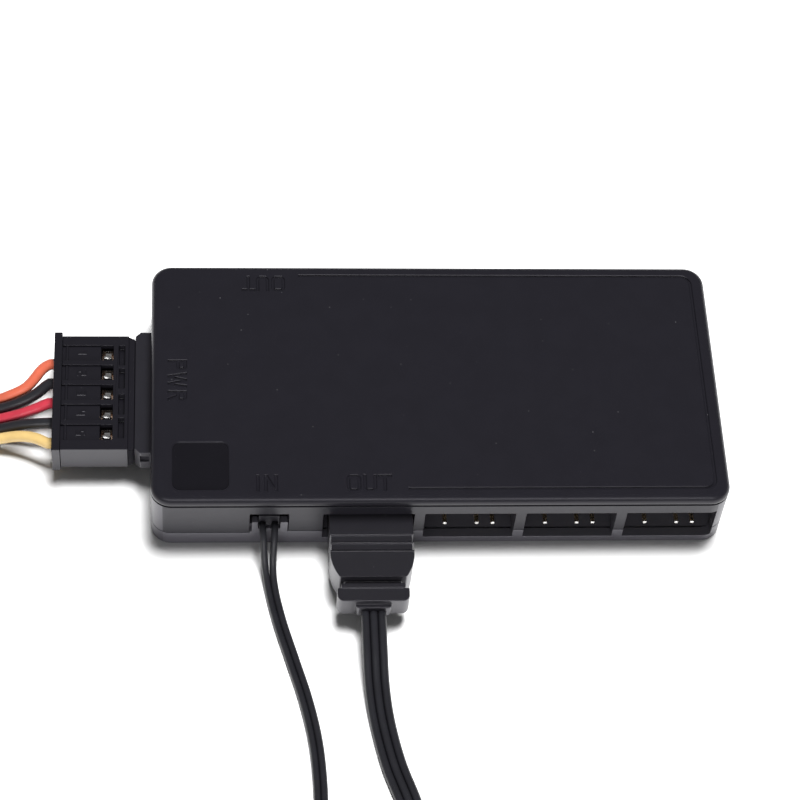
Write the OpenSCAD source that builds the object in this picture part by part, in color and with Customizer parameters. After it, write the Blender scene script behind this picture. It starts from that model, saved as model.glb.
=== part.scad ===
// Splitter box for addressable light strips and fans.
// A flat two-part plastic box holds one circuit board. Power comes in at the left end,
// the control signal at the front, and nine three-pin outputs leave at the front and back.
// Origin: centre of the underside. +X along the length, +Y to the back, +Z up. Millimetres.

/* [Box] */
// Length of the box
body_l = 91.2; // [91:0.2:93]
// Width of the box, front to back
body_w = 45.4; // [45.2:0.2:47]
// Height of the box
body_h = 12.6; // [12.4:0.1:14]
// Corner radius in plan
corner_r = 3.25; // [3:0.25:4.5]
// Rounding of the top edge
edge_r = 1.2; // [0.8:0.1:1.4]
// Side wall thickness
wall = 1.6; // [1.4:0.1:1.7]
// Floor thickness
floor_t = 1.5; // [1.3:0.1:1.5]
// Roof thickness
roof_t = 1.5; // [1.3:0.1:1.8]
// Height of the parting line
part_z = 3.6; // [3.5:0.1:3.9]
// Drop of the parting line towards the power end
part_step = 0.45; // [0.3:0.05:0.6]
// Width of the parting groove
part_gap = 0.16; // [0.1:0.02:0.24]
// Depth of the shadow line under the rim
rim_d = 0.28; // [0.15:0.01:0.35]

/* [Outputs] */
// Distance between outputs
port_pitch = 16; // [15.8:0.1:16.2]
// Width of an output opening
port_w = 14.3; // [13.8:0.1:14.4]
// Top of the output openings
port_top = 8.5; // [8.3:0.1:8.8]
// Distance from the last output's centre to the end of the box
port_end = 9.03; // [9:0.01:9.4]
// Outputs along the front
front_ports = 4; // [3:1:4]
// Outputs along the back
back_ports = 5; // [4:1:5]
// Distance between pin positions
pin_pitch = 2.54; // [2.5:0.01:2.54]
// Side of a square pin
pin_s = 0.64; // [0.6:0.02:0.66]
// Height of the pin centres
pin_z = 4.57; // [4.5:0.01:4.65]

/* [Signal input] */
// Centre of the input opening along X
in_x = -27.05; // [-27.2:0.05:-26.9]
// Width of the input opening
in_w = 6.1; // [6:0.1:6.4]
// Top of the input opening
in_top = 8.6; // [8.4:0.1:8.8]

/* [Power input] */
// Centre of the power connector along Y
pw_y = 0.57; // [0.4:0.01:0.7]
// Width of the power plug
pw_w = 21.85; // [21.6:0.05:22]
// Distance between the power wires
pw_pitch = 3.81; // [3.75:0.01:3.81]
// Underside of the power plug
pw_z0 = 3.0; // [2.9:0.1:3.1]
// Top of the power plug
pw_z1 = 8.2; // [8.1:0.1:8.3]

/* [Markings] */
// Height of the letters
mark_h = 2.95; // [2.6:0.05:3.1]
// Width of the engraved strokes
mark_s = 0.4; // [0.3:0.05:0.45]
// Depth of the engraving
mark_d = 0.3; // [0.2:0.05:0.4]

/* [Cords] */
// Diameter of a power wire
wire_d = 1.8; // [1.7:0.05:1.85]
// Width of the input cable
inc_w = 2.2; // [2.1:0.1:2.3]
// Thickness of the input cable
inc_t = 1.12; // [1.05:0.01:1.2]
// Width of the output cable
outc_w = 3.9; // [3.8:0.1:4]
// Thickness of the output cable
flat_t = 1.3; // [1.2:0.05:1.4]

/* [Hidden] */
$fn = 48;

e = 0.01;
xl = -body_l / 2;
yf = -body_w / 2;
port_last = body_l / 2 - port_end;
function port_x(i) = port_last - i * port_pitch;      // counted from the right-hand end
pin_off = [-1.5 * pin_pitch, 0.5 * pin_pitch, 1.5 * pin_pitch];
port_depth = 6.5;
board_z = 2.3;
board_t = 1.0;
board_top = board_z + board_t;
board_y = body_w / 2 - port_depth - 0.3;               // half width of the board
step_x = in_x - in_w / 2;
posts = [[xl + 5.4, -16.8], [xl + 5.4, 16.8], [port_x(0) - 8, -11.6], [port_x(0) - 8, 11.6]];
split_low = part_z - part_step;
hdr_y0 = pw_y - 11.72;
hdr_y1 = pw_y + 11.5;
hdr_x = xl - 2.6;                                      // outer face of the power header
hdr_x1 = xl + 8.6;
hdr_z1 = 8.35;
flange_x = xl - 15.65;

// ---------- shared 2D and 3D shapes ----------
module rrect(l, w, r) {
  square([l - 2 * r, w], center = true);
  square([l, w - 2 * r], center = true);
  for (sx = [-1, 1], sy = [-1, 1]) translate([sx * (l / 2 - r), sy * (w / 2 - r)]) circle(r);
}
module box(x0, x1, y0, y1, z0, z1) { translate([x0, y0, z0]) cube([x1 - x0, y1 - y0, z1 - z0]); }
module slab(l, w, z0, z1, r) { translate([0, 0, z0]) linear_extrude(z1 - z0) rrect(l, w, r); }
module quarter(q) { intersection() { circle(q); square(q); } }
module crowned(l, w, h, r, q) {
  slab(l, w, 0, h - q, r);
  translate([0, 0, h - q]) {
    linear_extrude(q) { square([l - 2 * r, w - 2 * q], center = true); square([l - 2 * q, w - 2 * r], center = true); }
    for (a = [0, 180]) rotate(a) {
      translate([0, w / 2 - q, 0]) rotate([90, 0, 90]) linear_extrude(l - 2 * r, center = true) quarter(q);
      translate([l / 2 - q, 0, 0]) rotate([90, 0, 0]) linear_extrude(w - 2 * r, center = true) quarter(q);
      for (b = [0, 1]) translate([(1 - 2 * b) * (l / 2 - r), w / 2 - r, 0]) rotate(90 * b) intersection() {
        rotate_extrude() { square([r - q, q]); translate([r - q, 0]) quarter(q); }
        cube([r, r, q]);
      }
    }
  }
}

// ---------- engraved letters, drawn from straight and round strokes ----------
module bar(x, y, l, w) { translate([x, y]) square([l, w]); }
module stroke(a, b, s) {
  d = b - a; n = norm(d);
  translate(a) rotate(atan2(d[1], d[0])) translate([0, -s / 2]) square([n, s]);
}
module ring2(w, h, r, s) { difference() { rrect(w, h, r); rrect(w - 2 * s, h - 2 * s, max(r - s, 0.15)); } }
module l_o(h, s) { translate([h * 0.36, h / 2]) ring2(h * 0.72, h, h * 0.24, s); }
module l_u(h, s) {
  difference() { translate([h * 0.34, h / 2]) ring2(h * 0.68, h, h * 0.24, s); bar(-1, h * 0.6, 10, h); }
  bar(0, h * 0.3, s, h * 0.7); bar(h * 0.68 - s, h * 0.3, s, h * 0.7);
}
module l_t(h, s) { bar(0, h - s, h * 0.7, s); bar(h * 0.35 - s / 2, 0, s, h); }
module l_i(h, s) { bar(0, 0, s, h); }
module l_n(h, s) {
  bar(0, 0, s, h); bar(h * 0.68 - s, 0, s, h);
  polygon([[0, h], [s * 1.15, h], [h * 0.68, 0], [h * 0.68 - s * 1.15, 0]]);
}
module l_p(h, s) {
  bar(0, 0, s, h);
  difference() { translate([h * 0.31, h * 0.735]) ring2(h * 0.62, h * 0.53, h * 0.2, s); bar(-1, 0, 1 + s / 2, h + 1); }
  bar(0, h - s, h * 0.3, s); bar(0, h * 0.47, h * 0.3, s);
}
module l_r(h, s) { l_p(h, s); polygon([[h * 0.26, h * 0.5], [h * 0.26 + s * 1.2, h * 0.5], [h * 0.64, 0], [h * 0.64 - s * 1.2, 0]]); }
module l_w(h, s) {
  x = [0, h * 0.24, h * 0.48, h * 0.72, h * 0.96];
  polygon([[x[0], h], [x[0] + s, h], [x[1] + s * 0.5, 0], [x[1] - s * 0.5, 0]]);
  polygon([[x[1] - s * 0.5, 0], [x[1] + s * 0.5, 0], [x[2] + s * 0.5, h], [x[2] - s * 0.5, h]]);
  polygon([[x[2] - s * 0.5, h], [x[2] + s * 0.5, h], [x[3] + s * 0.5, 0], [x[3] - s * 0.5, 0]]);
  polygon([[x[3] - s * 0.5, 0], [x[3] + s * 0.5, 0], [x[4], h], [x[4] - s, h]]);
}
module word_in(h, s) { l_i(h, s); translate([h * 0.42, 0]) l_n(h, s); }
module word_out(h, s) { l_o(h, s); translate([h * 0.88, 0]) l_u(h, s); translate([h * 1.66, 0]) l_t(h, s); }
module word_pwr(h, s) { l_p(h, s); translate([h * 0.82, 0]) l_w(h, s); translate([h * 2.0, 0]) l_r(h, s); }

// Raised digits on the plug, each in a cell of height h
module digit(n, h, s) {
  w = h * 0.6;
  if (n == 1) { bar(w / 2 - s / 2, 0, s, h); stroke([w / 2, h - s / 2], [w * 0.1, h * 0.7], s); }
  if (n == 2) { bar(0, h - s, w, s); bar(w - s, h / 2, s, h / 2); bar(0, h / 2 - s / 2, w, s); bar(0, 0, s, h / 2); bar(0, 0, w, s); }
  if (n == 3) { bar(0, h - s, w, s); bar(w - s, 0, s, h); bar(w * 0.2, h / 2 - s / 2, w * 0.8, s); bar(0, 0, w, s); }
  if (n == 4) { bar(0, h / 2 - s / 2, s, h / 2 + s / 2); bar(0, h / 2 - s / 2, w, s); bar(w - s, 0, s, h); }
  if (n == 5) { bar(0, h - s, w, s); bar(0, h / 2, s, h / 2); bar(0, h / 2 - s / 2, w, s); bar(w - s, 0, s, h / 2); bar(0, 0, w, s); }
}

module groove_2d() {
  gx = body_l / 2 - 2.2; gy = body_w / 2 - 2.2;
  difference() {
    intersection() {
      translate([gx - 40 - mark_s / 2, 0]) difference() {
        rrect(80 + mark_s, 2 * gy + mark_s, 1.6 + mark_s / 2);
        rrect(80 - mark_s, 2 * gy - mark_s, 1.6 - mark_s / 2);
      }
      union() {
        bar(-21.6, 0, 80, 40);
        bar(-5.4, -40, 80, 40);
      }
    }
  }
}
module markings() {
  translate([0, 0, body_h - mark_d]) linear_extrude(mark_d + 1) {
    groove_2d();
    translate([-29.1, -20.85]) word_in(mark_h, mark_s);
    translate([-15, -20.85]) word_out(mark_h, mark_s);
    translate([-23.95, 20.4]) rotate(180) word_out(mark_h, mark_s);
    translate([-42.9, 3.8]) rotate(-90) word_pwr(mark_h, mark_s);
  }
  translate([-37.8, -16.2, body_h - 0.25]) linear_extrude(2) rrect(8.75, 8.8, 1.2);
}

// ---------- the two shells ----------
module port_cuts() {
  for (i = [0:front_ports - 1]) box(port_x(i) - port_w / 2, port_x(i) + port_w / 2, yf - 1, yf + port_depth + 0.2, floor_t + e, port_top);
  for (i = [0:back_ports - 1]) box(port_x(i) - port_w / 2, port_x(i) + port_w / 2, -yf - port_depth - 0.2, -yf + 1, floor_t + e, port_top);
}
module top_cover() {
  color([0.16, 0.16, 0.17]) difference() {
    union() {
      difference() {
        crowned(body_l, body_w, body_h, corner_r, edge_r);
        slab(body_l - 2 * wall, body_w - 2 * wall, -1, body_h - roof_t, corner_r - wall);
        // everything below the parting line belongs to the lower shell
        slab(body_l + 2, body_w + 2, -1, split_low, corner_r);
        box(step_x, body_l, -body_w, body_w, -1, part_z);
        // shadow line under the rounded rim
        difference() {
          slab(body_l + 2, body_w + 2, body_h - 1.88, body_h - 1.52, corner_r);
          slab(body_l - 2 * rim_d, body_w - 2 * rim_d, body_h - 2, body_h - 1.4, corner_r - rim_d);
        }
        // rebate that takes the lip of the lower shell
        slab(body_l - 1.56, body_w - 1.56, -1, part_z + 0.9, corner_r - 0.78);
      }
      // tunnels around the outputs: roof shelf and divider walls
      for (s = [-1, 1]) {
        n = s < 0 ? front_ports : back_ports;
        x0 = port_x(n - 1) - port_w / 2 - 1.7;
        y0 = s < 0 ? yf + wall - 0.2 : -yf - port_depth;
        box(x0, body_l / 2 - wall + 0.1, y0, y0 + port_depth - wall + 0.2, port_top, port_top + 1.2);
        for (i = [1:n]) {
          xb = port_x(i - 1) - port_w / 2;
          box(xb - port_pitch + port_w, xb, y0 + (s < 0 ? 0.2 : 0), y0 + port_depth - wall + (s < 0 ? 0.2 : 0), floor_t + 0.1, port_top + 0.5);
          box(xb - port_pitch + port_w, xb, y0 + (s < 0 ? -0.1 : 0), y0 + port_depth - wall + (s < 0 ? 0 : 0.3), part_z + 1, port_top + 0.5);
        }
      }
      // screw posts
      for (p = posts) translate([p[0], p[1], 3.05]) cylinder(r = 2.5, h = body_h - roof_t - 3.05 + 0.1);
      // ribs that steady the power header
      for (y = [hdr_y0 - 1.4, hdr_y1 + 0.2]) box(xl + wall - 0.1, xl + 7, y, y + 1.2, part_z + 1, body_h - roof_t + 0.1);
    }
    port_cuts();
    for (p = posts) translate([p[0], p[1], 2]) cylinder(r = 1.0, h = 8.2);
    box(step_x, step_x + in_w, yf - 1, yf + wall + 1, part_z - 1, in_top);
    box(xl - 1, xl + wall + 0.5, hdr_y0 - 0.1, hdr_y1 + 0.1, split_low - 1, hdr_z1 + 0.1);
    markings();
  }
}
module bottom_shell() {
  color([0.2, 0.2, 0.21]) difference() {
    union() {
      difference() {
        union() {
          slab(body_l, body_w, 0, split_low - part_gap, corner_r);
          intersection() {
            slab(body_l, body_w, 1, part_z - part_gap, corner_r);
            box(step_x + 0.05, body_l, -body_w, body_w, 0, 9);
          }
          // lip inside the cover
          slab(body_l - 1.7, body_w - 1.7, 1, part_z + 0.8, corner_r - 0.85);
        }
        slab(body_l - 2 * wall, body_w - 2 * wall, floor_t, 20, corner_r - wall);
      }
      // screw bosses with a shoulder for the board
      for (p = posts) translate([p[0], p[1], floor_t - 0.1]) {
        cylinder(r = 3.6, h = board_z - floor_t + 0.1);
        cylinder(r = 3.1, h = 3.05 - floor_t + 0.1);
      }
      for (x = [-12, 12], y = [-9, 9]) translate([x, y, floor_t - 0.1]) cylinder(r = 1.2, h = board_z - floor_t + 0.1);
      // tongue that closes the lower part of the signal opening
      difference() {
        box(step_x + 0.35, step_x + in_w - 0.12, yf, yf + 1.2, 2, 6.2);
        box(in_x - 1.75, in_x + 1.75, yf - 1, yf + 3, 4.3, 9);
      }
    }
    port_cuts();
    for (p = posts) {
      translate([p[0], p[1], -1]) cylinder(r = 2.2, h = 2.5);
      translate([p[0], p[1], 1]) cylinder(r = 1.2, h = 9);
    }
    box(xl - 1, xl + wall + 0.5, hdr_y0 - 0.1, hdr_y1 + 0.1, board_top - 0.1, 12);
  }
}
module cover_screws() {
  color([0.35, 0.35, 0.37]) for (p = posts) translate([p[0], p[1], 0]) difference() {
    union() {
      translate([0, 0, 0.25]) cylinder(r = 1.9, h = 1.25);
      translate([0, 0, 1.4]) cylinder(r = 1.0, h = 7.1);
    }
    for (a = [0, 90]) rotate(a) translate([-1.1, -0.22, -1]) cube([2.2, 0.44, 1.9]);
  }
}

// ---------- the board and what is on it ----------
module board_holes() {
  for (p = posts) translate([p[0], p[1], 0]) cylinder(r = 3.3, h = 9);
}
module circuit_board() {
  color([0.05, 0.2, 0.12]) difference() {
    box(xl + 3.6, body_l / 2 - 3, -board_y, board_y, board_z, board_top);
    board_holes();
    for (s = [-1, 1]) {
      n = s < 0 ? front_ports : back_ports;
      for (i = [0:n - 1], d = pin_off) translate([port_x(i) + d, s * (board_y - 3.6), 0]) cylinder(r = 0.5, h = 9, $fn = 24);
    }
    for (d = [-1, 1]) translate([in_x + d, -board_y + 6.75, 0]) cylinder(r = 0.4, h = 9, $fn = 24);
  }
}
module pin_block(i, s) {
  color([0.1, 0.1, 0.11]) difference() {
    box(port_x(i) - 5.08, port_x(i) + 5.08, s < 0 ? -board_y - 0.1 : board_y - 2.44, s < 0 ? -board_y + 2.44 : board_y + 0.1, board_top, board_top + 2.54);
    for (d = pin_off) translate([port_x(i) + d, 0, pin_z]) cube([pin_s, body_w, pin_s], center = true);
    for (k = [-1, 0, 1]) translate([port_x(i) + k * pin_pitch, s * board_y, 0]) rotate(45) cube([0.5, 0.5, 30], center = true);
  }
}
module pin(i, d, s) {
  y0 = body_w / 2 - 0.6; y1 = board_y - 3.6;
  h = pin_s / 2;
  x = port_x(i) + d;
  box(x - h, x + h, min(s * y0, s * (y1 - h)), max(s * y0, s * (y1 - h)), pin_z - h, pin_z + h);
  box(x - h, x + h, s * y1 - h, s * y1 + h, board_z - 0.5, pin_z + h);
}
module front_pins() { color([0.85, 0.75, 0.5]) for (i = [0:front_ports - 1], d = pin_off) pin(i, d, -1); }
module back_pins() { color([0.85, 0.75, 0.5]) for (i = [0:back_ports - 1], d = pin_off) pin(i, d, 1); }
module front_header_1() { pin_block(3, -1); }
module front_header_2() { pin_block(2, -1); }
module front_header_3() { pin_block(1, -1); }
module front_header_4() { pin_block(0, -1); }
module back_header_1() { pin_block(4, 1); }
module back_header_2() { pin_block(3, 1); }
module back_header_3() { pin_block(2, 1); }
module back_header_4() { pin_block(1, 1); }
module back_header_5() { pin_block(0, 1); }

sig_y0 = -board_y - 0.2;                               // mouth of the signal header
module signal_header() {
  color([0.86, 0.84, 0.78]) difference() {
    box(in_x - 2.95, in_x + 2.95, sig_y0, sig_y0 + 6.4, board_top, 8.3);
    box(in_x - 2.35, in_x + 2.35, sig_y0 - 1, sig_y0 + 4.8, board_top + 0.6, 7.7);
    box(in_x - 1.2, in_x + 1.2, sig_y0 - 1, sig_y0 + 3, 7, 9);
    for (d = [-1, 1]) box(in_x + d - 0.25, in_x + d + 0.25, sig_y0, sig_y0 + 9, 5.15, 5.65);
  }
}
module signal_pins() {
  color([0.85, 0.75, 0.5]) for (d = [-1, 1]) {
    box(in_x + d - 0.25, in_x + d + 0.25, sig_y0 + 1.4, sig_y0 + 7.2, 5.15, 5.65);
    box(in_x + d - 0.25, in_x + d + 0.25, sig_y0 + 6.7, sig_y0 + 7.2, board_z - 0.5, 5.65);
  }
}
module power_header() {
  color([0.13, 0.13, 0.14]) difference() {
    translate([0, 0, board_top]) linear_extrude(hdr_z1 - board_top) polygon([
      [hdr_x, hdr_y0 + 0.9], [hdr_x + 0.9, hdr_y0], [hdr_x1, hdr_y0], [hdr_x1, hdr_y1], [hdr_x + 0.8, hdr_y1], [hdr_x, hdr_y1 - 0.75]]);
    // the part outside the box starts higher
    box(hdr_x - 1, xl - 0.05, hdr_y0 - 1, hdr_y1 + 1, board_top - 1, 3.85);
    difference() {
      box(hdr_x - 1, hdr_x + 6.6, pw_y - 10.47, pw_y + 10.47, board_top + 0.6, hdr_z1 - 0.5);
      box(hdr_x + 0.8, hdr_x + 9, pw_y - 9.2, pw_y + 9.2, 5.35, 6.55);
      box(hdr_x + 0.8, hdr_x + 9, pw_y - 9.2, pw_y - 8.3, 5.35, 7.3);
    }
    for (y = [hdr_y0 - 1, hdr_y1 - 0.6]) box(hdr_x + 0.9, hdr_x + 2.4, y, y + 1.6, 5.7, 7.4);
    for (k = [-7:7]) box(hdr_x + 1.0, hdr_x1 + 1, pw_y + k * 1.27 - 0.35, pw_y + k * 1.27 + 0.35, 6.4, 6.8);
  }
}
module power_contacts() {
  color([0.85, 0.75, 0.5]) for (k = [-7:7]) {
    box(hdr_x + 1.1, hdr_x1 + 0.6, pw_y + k * 1.27 - 0.3, pw_y + k * 1.27 + 0.3, 6.4, 6.6);
    box(hdr_x1 + 0.4, hdr_x1 + 0.6, pw_y + k * 1.27 - 0.3, pw_y + k * 1.27 + 0.3, board_top + 0.2, 6.6);
    box(hdr_x1 + 0.4, hdr_x1 + 1.5, pw_y + k * 1.27 - 0.3, pw_y + k * 1.27 + 0.3, board_top, board_top + 0.2);
  }
}
module buffer_chip() {
  color([0.12, 0.12, 0.13]) translate([-6, 0, board_top + 0.15]) linear_extrude(1.5) difference() {
    square([8.7, 3.9], center = true);
    translate([-4.35, 0]) circle(0.5);
  }
  color([0.8, 0.8, 0.82]) for (k = [-3:3], s = [-1, 1]) {
    box(-6 + k * 1.27 - 0.2, -6 + k * 1.27 + 0.2, s < 0 ? -2.7 : 1.95, s < 0 ? -1.95 : 2.7, board_top + 0.7, board_top + 0.9);
    box(-6 + k * 1.27 - 0.2, -6 + k * 1.27 + 0.2, s < 0 ? -2.9 : 2.7, s < 0 ? -2.7 : 2.9, board_top + 0.2, board_top + 0.9);
    box(-6 + k * 1.27 - 0.2, -6 + k * 1.27 + 0.2, s < 0 ? -3.4 : 2.7, s < 0 ? -2.7 : 3.4, board_top, board_top + 0.2);
  }
}
module bulk_capacitor() {
  color([0.75, 0.76, 0.78]) translate([-24, 1, board_top]) {
    difference() { linear_extrude(0.9) square([6.6, 6.6], center = true); }
    translate([0, 0, 0.8]) cylinder(r = 3.15, h = 5.2);
  }
}
module resettable_fuse() {
  color([0.2, 0.35, 0.25]) box(-30.8, -29.2, 6, 9.2, board_top, board_top + 0.9);
  color([0.8, 0.8, 0.82]) { box(-30.8, -29.2, 5.5, 6, board_top, board_top + 0.9); box(-30.8, -29.2, 9.2, 9.7, board_top, board_top + 0.9); }
}
module ceramic_capacitors() {
  color([0.6, 0.48, 0.35]) for (i = [0:back_ports - 1], s = [-1, 1]) if (s > 0 || i < front_ports)
    box(port_x(i) - 1, port_x(i) + 1, s < 0 ? -8.85 : 7.6, s < 0 ? -7.6 : 8.85, board_top, board_top + 0.8);
}
module resistors() {
  color([0.1, 0.1, 0.1]) for (i = [0:back_ports - 1], s = [-1, 1]) if (s > 0 || i < front_ports)
    box(port_x(i) + 2.6, port_x(i) + 4.2, s < 0 ? -6 : 5.2, s < 0 ? -5.2 : 6, board_top, board_top + 0.5);
}

// ---------- power plug and its lead ----------
cells = [for (k = [2:-1:-2]) pw_y + k * pw_pitch];
ph_x0 = flange_x + 1.3;                                // rear of the housing
ph_x1 = xl - 3.65;                                     // where the full-width body ends
nose_x = xl + 2.9;
module power_plug_housing() {
  color([0.12, 0.12, 0.13]) difference() {
    union() {
      box(ph_x0, ph_x1, pw_y - pw_w / 2, pw_y + pw_w / 2, pw_z0, pw_z1);
      translate([0, 0, pw_z0 + 0.35]) linear_extrude(pw_z1 - pw_z0 - 0.7) polygon([
        [ph_x1 - e, pw_y - pw_w / 2], [ph_x1 + 1, pw_y - pw_w / 2 + 0.43], [ph_x1 + 1, pw_y + pw_w / 2 - 0.43], [ph_x1 - e, pw_y + pw_w / 2]]);
      box(ph_x1, nose_x, pw_y - 10.35, pw_y + 10.35, 4.1, 7.65);
    }
    // blade slot with its L-shaped end
    box(hdr_x + 0.5, nose_x + 1, pw_y - 9.5, pw_y + 9.5, 5.25, 6.75);
    box(hdr_x + 0.5, nose_x + 1, pw_y - 9.5, pw_y - 8.1, 5.25, 7.45);
    for (c = cells) {
      // bed of each cap finger, and the window over its contact
      box(ph_x0 - 1, flange_x + 7.6, c - 1.45, c + 1.45, 6.6, 9);
      box(flange_x + 7.55, flange_x + 9.55, c - 1.4, c + 1.4, 6.0, 9);
      translate([ph_x0 - 1, c, 4.9]) rotate([0, 90, 0]) cylinder(r = wire_d / 2 + 0.1, h = 6);
    }
    // latch slots
    for (y = [-8.8, -4.3, 0.7, 5.2]) box(flange_x + 10.45, flange_x + 11.4, pw_y + y, pw_y + y + 3.85, 7.0, 9);
  }
}
module power_plug_cap() {
  color([0.14, 0.14, 0.15]) {
    box(flange_x, ph_x0, pw_y - 11.25, pw_y + 11.4, 2.6, 8.6);
    for (k = [0:4]) {
      c = cells[k];
      box(ph_x0 - e, flange_x + 7.55, c - 1.4, c + 1.4, 6.65, 7.85);
      translate([flange_x + 3.75, c + 0.45, 7.8]) rotate(-90) linear_extrude(0.2) digit(k + 1, 1.5, 0.22);
      box(flange_x + 1.9, flange_x + 2.3, c - 1.4, c + 1.4, 7.6, 8.1);
    }
  }
}
module power_plug_contacts() {
  color([0.85, 0.85, 0.87]) for (c = cells) {
    box(flange_x + 7.65, flange_x + 9.45, c - 1.2, c + 1.2, 6.05, 6.3);
    box(flange_x + 7.65, flange_x + 9.45, c + 0.75, c + 1.0, 6.25, 7.7);
    box(flange_x + 7.8, flange_x + 9.35, c - 1.1, c - 0.3, 6.25, 7.6);
  }
}

// Sweep a closed outline of n sides, w wide and t thick, along points p
function unit(v) = v / norm(v);
function tan_at(p, i) = unit(i == 0 ? p[1] - p[0] : i == len(p) - 1 ? p[i] - p[i - 1] : unit(p[i + 1] - p[i]) + unit(p[i] - p[i - 1]));
function side_at(t) = unit(cross(t, [0, 0, 1]));
function ring_at(p, i, w, t, n) =
  let (d = tan_at(p, i), a = side_at(d), b = cross(a, d))
  [for (k = [0:n - 1]) let (q = 360 * (k + 0.5) / n, c = cos(q), s = sin(q), m = max(abs(c), abs(s)))
    p[i] + a * (w / 2) * c / cos(180 / n) + b * (t / 2) * s / cos(180 / n)];
module sweep(p, w, t, n = 8) {
  r = len(p);
  pts = [for (i = [0:r - 1]) each ring_at(p, i, w, t, n)];
  polyhedron(points = pts, convexity = 6, faces = concat(
    [[for (k = [0:n - 1]) k]],
    [for (i = [0:r - 2], k = [0:n - 1]) each [
      [i * n + k, (i + 1) * n + k, (i + 1) * n + (k + 1) % n],
      [i * n + k, (i + 1) * n + (k + 1) % n, i * n + (k + 1) % n]]],
    [[for (k = [n - 1:-1:0]) (r - 1) * n + k]]));
}

// Routes of the five wires, from the cap to the hank
hank_x = -76;
hank_y = -1;
wp = 1.9;                                              // distance between wires lying side by side
route_orange = [[flange_x, cells[0], 4.9], [-62, cells[0], 4.9], [-63.3, 7.2, 4.9], [-64.5, 5.4, 4.8], [-65.8, 3.9, 4.5], [-68, 3.1, 3.7], [-71.5, 2.8, 2.0], [-75, hank_y + 2 * wp, 0.95], [hank_x, hank_y + 2 * wp, 0.95]];
route_black_a = [[flange_x, cells[1], 4.9], [-62, cells[1], 4.9], [-64, 2.7, 4.6], [-66.5, 1.4, 4.0], [-70, 1.0, 2.6], [-75, hank_y + wp, 0.95], [hank_x, hank_y + wp, 0.95]];
route_red = [[flange_x, cells[2], 4.9], [-62, cells[2], 4.9], [-64, -0.3, 4.7], [-66.5, -0.9, 4.0], [-70, -1.0, 2.6], [-75, hank_y, 0.95], [hank_x, hank_y, 0.95]];
route_black_b = [[flange_x, cells[3], 4.9], [-62, cells[3], 4.9], [-64, -3.2, 4.7], [-66.5, -3.0, 4.0], [-70, -2.9, 2.6], [-75, hank_y - wp, 0.95], [hank_x, hank_y - wp, 0.95]];
route_yellow = [[flange_x, cells[4], 4.9], [-62, cells[4], 4.9], [-64, -6.0, 4.8], [-66.5, -5.2, 4.1], [-70, -4.8, 2.7], [-75, hank_y - 2 * wp, 0.95], [hank_x, hank_y - 2 * wp, 0.95]];
module wire_orange() { color([0.85, 0.4, 0.22]) sweep(route_orange, wire_d, wire_d); }
module wire_black_a() { color([0.08, 0.08, 0.09]) sweep(route_black_a, wire_d, wire_d); }
module wire_red() { color([0.75, 0.1, 0.15]) sweep(route_red, wire_d, wire_d); }
module wire_black_b() { color([0.08, 0.08, 0.09]) sweep(route_black_b, wire_d, wire_d); }
module wire_yellow() { color([0.9, 0.75, 0.2]) sweep(route_yellow, wire_d, wire_d); }

// The flat ribbon of wires, folded once: a quarter turn, a run, a half turn and a run back
// that closes up beside the first
hank_r = 9.2;
hank_w = 4 * wp + wire_d;
hank_run = 36;
hx1 = hank_x - hank_r;
hy1 = hank_y - hank_r;
hy2 = hy1 - hank_run;
hx2 = hx1 - 2 * hank_r;
hx3 = hx1 - hank_w - 0.4;
hy3 = -8;
pe_y = 5;
module arc_band(r, w, a0, a1) {
  // the part of a ring between two angles that differ by 90 or 180 degrees
  difference() {
    intersection() {
      circle(r + w / 2);
      union() { for (a = [a0:90:a1 - 90]) rotate(a) square(40); }
    }
    circle(r - w / 2);
  }
}
module power_lead_hank() {
  color([0.4, 0.2, 0.2]) linear_extrude(wire_d + 0.05) {
    translate([hank_x, hy1]) arc_band(hank_r, hank_w, 90, 180);
    bar(hx1 - hank_w / 2, hy2, hank_w, hank_run);
    translate([hx1 - hank_r, hy2]) arc_band(hank_r, hank_w, 180, 360);
    polygon([[hx2 - hank_w / 2, hy2], [hx2 + hank_w / 2, hy2], [hx3 + hank_w / 2, hy2 + 17], [hx3 + hank_w / 2, hy3],
      [hx3 + 8.6, pe_y], [hx3 - 8.6, pe_y], [hx3 - hank_w / 2, hy3], [hx3 - hank_w / 2, hy2 + 17]]);
  }
}
tie_y = -20;
module power_lead_tie() {
  color([0.1, 0.1, 0.11]) translate([(hx1 + hx3) / 2, tie_y, 0]) rotate([90, 0, 0]) linear_extrude(5, center = true) difference() {
    translate([0, 1.3]) rrect(hx1 - hx3 + hank_w + 1.6, 2.6, 0.7);
    translate([-(hx1 - hx3 + hank_w) / 2, -1]) square([hx1 - hx3 + hank_w, 1 + wire_d + 0.05]);
  }
}
// plug-in socket at the far end of the lead, lying flat
module power_end_housing() {
  color([0.12, 0.12, 0.13]) difference() {
    box(hx3 - 12.4, hx3 + 12.4, pe_y + 3, pe_y + 15, 0, 6.4);
    difference() {
      box(hx3 - 11.2, hx3 + 11.2, pe_y + 7.6, pe_y + 16, 1.0, 5.4);
      box(hx3 - 9.2, hx3 + 9.2, pe_y + 7, pe_y + 14, 2.6, 3.8);
      box(hx3 + 8.3, hx3 + 9.2, pe_y + 7, pe_y + 14, 2.6, 4.6);
    }
    for (k = [-7:7]) box(hx3 + k * 1.27 - 0.35, hx3 + k * 1.27 + 0.35, pe_y + 2, pe_y + 13.8, 3.6, 4.1);
  }
}
module power_end_cap() {
  color([0.14, 0.14, 0.15]) difference() {
    box(hx3 - 12.4, hx3 + 12.4, pe_y, pe_y + 3, 0, 6.4);
    box(hx3 - 10, hx3 + 10, pe_y - 1, pe_y + 0.6, 4.4, 7);
  }
}
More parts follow.
